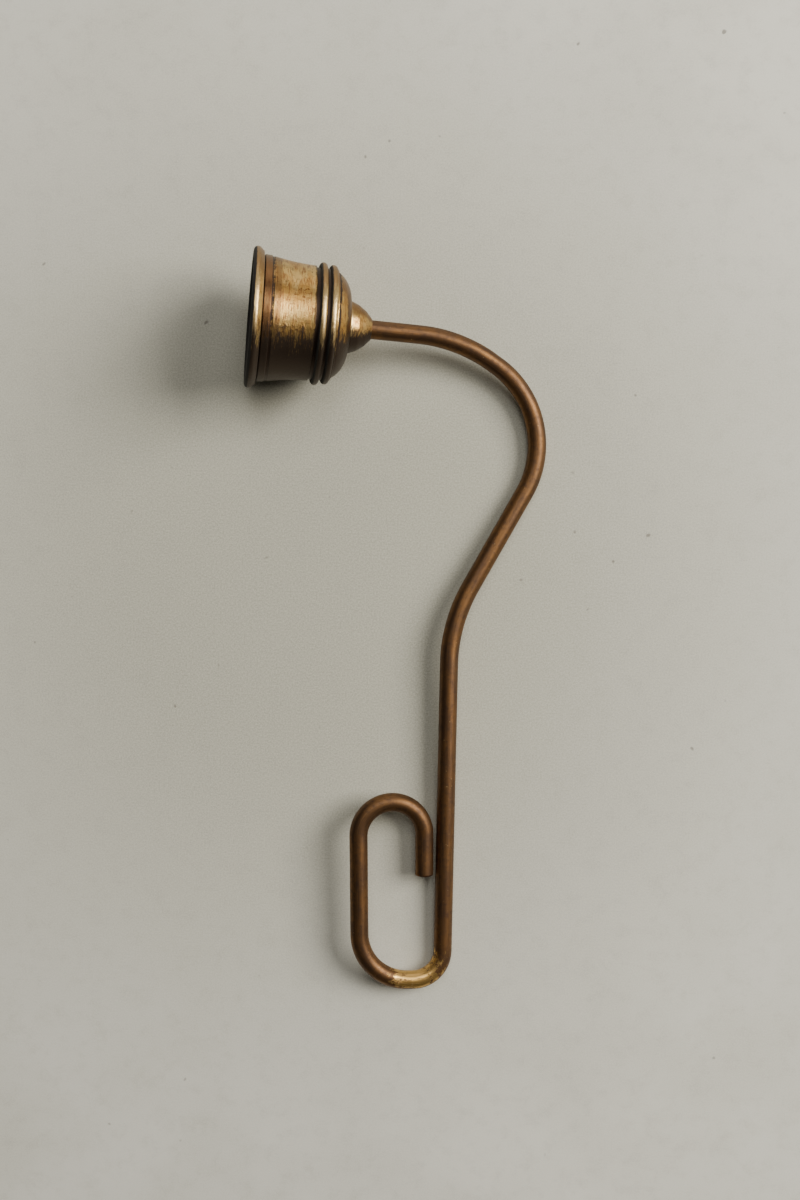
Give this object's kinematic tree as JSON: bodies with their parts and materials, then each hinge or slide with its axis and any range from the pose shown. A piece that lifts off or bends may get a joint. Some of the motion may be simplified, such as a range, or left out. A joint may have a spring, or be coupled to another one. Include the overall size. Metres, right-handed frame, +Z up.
{
  "type": "candle snuffer",
  "caption": "Bell-shaped candle snuffer with a turned cup, a domed collar and a bent round-bar handle that ends in a hanging loop.",
  "frame": {"origin": "on the ground under the middle of the snuffer's box, as it lies on its side on the bell, the bow's bulge and the loop's near corner", "axes": "+Y from the hanging loop along the straight shaft towards the bell, +X from the bell's mouth towards the bow's bulge, +Z up from the surface it lies on"},
  "size_m": [0.082, 0.1976, 0.0368],
  "materials": {
    "bell_brass": "aged satin brass with dark patina in the grooves",
    "collar_brass": "aged satin brass",
    "aged_bar": "dark brown patina, rubbed bright where it is handled",
    "washer_brass": "dull brass",
    "spring_steel": "dark spring steel",
    "nut_brass": "dull brass"
  },
  "bodies": {
    "root": {"bell": "bell_brass", "neck_collar": "collar_brass", "handle_rod": "aged_bar", "flat_washer": "washer_brass", "spring_washer": "spring_steel", "fixing_nut": "nut_brass"}
  },
  "joints": []
}
